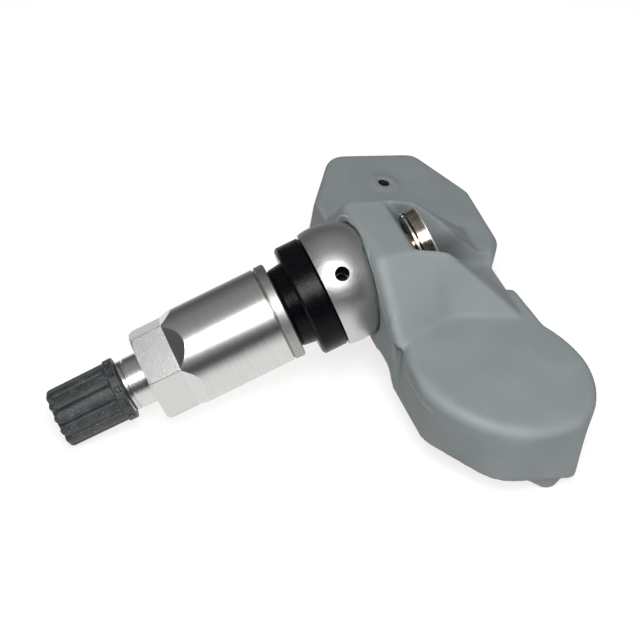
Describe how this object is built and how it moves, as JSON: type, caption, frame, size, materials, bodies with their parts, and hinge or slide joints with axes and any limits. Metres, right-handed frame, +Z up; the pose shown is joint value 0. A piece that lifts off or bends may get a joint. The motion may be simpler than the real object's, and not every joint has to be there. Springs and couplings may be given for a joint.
{
  "type": "tyre pressure sensor",
  "caption": "Clamp-in tyre pressure sensor: plastic electronics housing swivelling on the ball end of an aluminium valve with rubber grommet, union nut and dust cap.",
  "frame": {"origin": "middle of the footprint on the floor the sensor lies on", "axes": "+Z up, +X from the valve cap towards the housing, +Y from the battery pod towards the flat electronics lobe"},
  "size_m": [0.0702, 0.0648, 0.0251],
  "materials": {
    "housing": "satin moulded plastic, fine grain",
    "aluminium": "turned and blasted, satin",
    "rubber": "satin moulded rubber",
    "cap": "moulded, satin",
    "brass": "machined",
    "steel": "nickel plated",
    "spring": "drawn wire",
    "board": "lacquered laminate",
    "chip": "moulded package",
    "ferrite": "sintered ferrite",
    "copper": "lacquered copper wire",
    "filter": "porous membrane"
  },
  "bodies": {
    "housing": {"housing_shell": "housing", "housing_base": "housing", "circuit_board": "board", "battery_cell": "steel", "battery_tab_plus": "steel", "battery_tab_minus": "steel", "sensor_chip": "chip", "port_seal": "rubber", "port_filter": "filter", "antenna_core": "ferrite", "antenna_winding": "copper", "crystal_can": "steel"},
    "valve": {"valve_stem": "aluminium", "rubber_grommet": "rubber", "core_body": "brass", "core_gasket": "rubber", "core_spring": "spring"},
    "nut_carriage": {"nut_washer": "aluminium"},
    "nut": {"collar_nut": "aluminium"},
    "cap_carriage": {"cap_seal": "rubber"},
    "cap": {"valve_cap": "cap"},
    "pin": {"core_pin": "brass", "core_seal": "rubber"},
    "screw_carriage": {"lock_washer": "steel"},
    "screw": {"fixing_screw": "steel"}
  },
  "joints": [
    {"name": "valve_tilt", "type": "hinge", "parent": "housing", "child": "valve", "pos_m": [0.00623, 0.00124, 0.01624], "axis": [0, 1, 0], "range_deg": [-4, 10]},
    {"name": "nut_travel", "type": "slide", "parent": "valve", "child": "nut_carriage", "axis": [-0.9555, 0, -0.295], "range_m": [0, 0.003]},
    {"name": "nut_turn", "type": "hinge", "parent": "nut_carriage", "child": "nut", "pos_m": [-0.01288, 0.00124, 0.01034], "axis": [-0.9555, 0, -0.295], "range_deg": [0, 1090]},
    {"name": "cap_travel", "type": "slide", "parent": "valve", "child": "cap_carriage", "axis": [-0.9555, 0, -0.295], "range_m": [0, 0.00595]},
    {"name": "cap_turn", "type": "hinge", "parent": "cap_carriage", "child": "cap", "pos_m": [-0.03008, 0.00124, 0.00503], "axis": [-0.9555, 0, -0.295], "range_deg": [0, 2720]},
    {"name": "pin_press", "type": "slide", "parent": "valve", "child": "pin", "axis": [0.9555, 0, 0.295], "range_m": [0, 0.001], "stiffness_N_per_m": 400, "springref_m": -0.002, "deforming": ["core_spring"]},
    {"name": "screw_travel", "type": "slide", "parent": "valve", "child": "screw_carriage", "axis": [0.9555, 0, 0.295], "range_m": [0, 0.0028]},
    {"name": "screw_turn", "type": "hinge", "parent": "screw_carriage", "child": "screw", "pos_m": [0.01865, 0.00124, 0.02007], "axis": [0.9555, 0, 0.295], "range_deg": [0, 1450]}
  ],
  "couplings": [
    {"joint": "nut_turn", "follows": "nut_travel", "rad_per_m": 6283.2},
    {"joint": "cap_turn", "follows": "cap_travel", "rad_per_m": 7913.3},
    {"joint": "screw_turn", "follows": "screw_travel", "rad_per_m": 8976}
  ]
}
